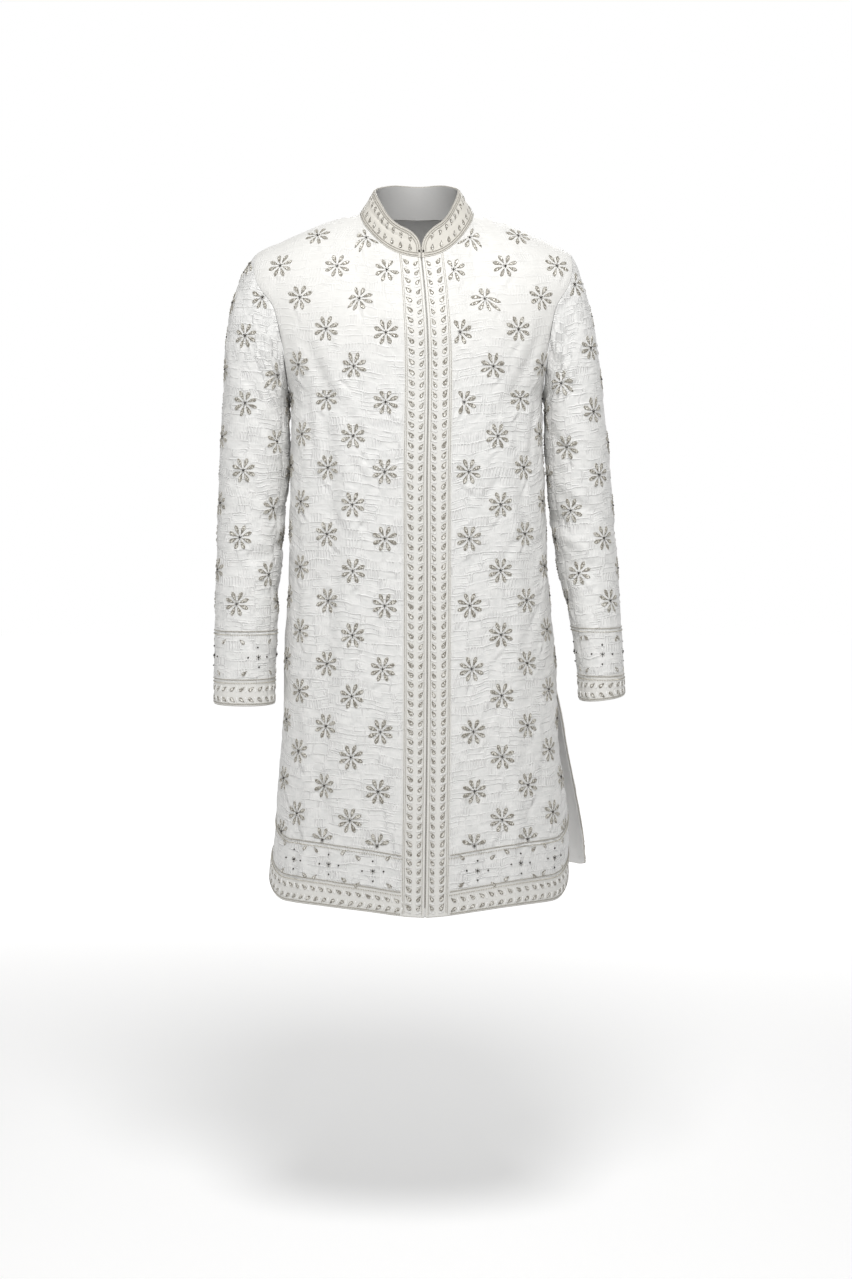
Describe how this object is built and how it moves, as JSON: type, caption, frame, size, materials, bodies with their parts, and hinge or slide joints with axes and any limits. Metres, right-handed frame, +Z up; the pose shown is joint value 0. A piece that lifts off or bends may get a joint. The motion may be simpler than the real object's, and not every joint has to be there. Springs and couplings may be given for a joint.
{
  "type": "sherwani coat",
  "caption": "Knee-length sherwani coat held open in its worn form, with a stand collar, edge-to-edge front, long two-piece sleeves and side vents.",
  "frame": {"origin": "middle of the neck opening, level with the points where the collar meets the shoulder seams; the wearer's neck and shoulders hold the coat there", "axes": "+Z up, +Y towards the coat's back, +X towards the wearer's left"},
  "size_m": [0.6147, 0.3107, 1.0722],
  "materials": {
    "coat_cloth": "off-white silk blend with self-colour raised lines and antique silver embroidery, soft sheen",
    "collar_cloth": "the same off-white cloth over a stiffening, corded edges and antique silver embroidery",
    "underlap_cloth": "plain off-white cloth with faint level ribs",
    "lining_cloth": "plain grey-white satin lining, smooth and softly glossy"
  },
  "bodies": {
    "root": {"front_right": "coat_cloth", "front_left": "coat_cloth", "back": "coat_cloth", "sleeve_upper_R": "coat_cloth", "sleeve_under_R": "coat_cloth", "sleeve_upper_L": "coat_cloth", "sleeve_under_L": "coat_cloth", "collar": "collar_cloth", "front_underlap": "underlap_cloth", "back_lining": "lining_cloth"}
  },
  "joints": []
}
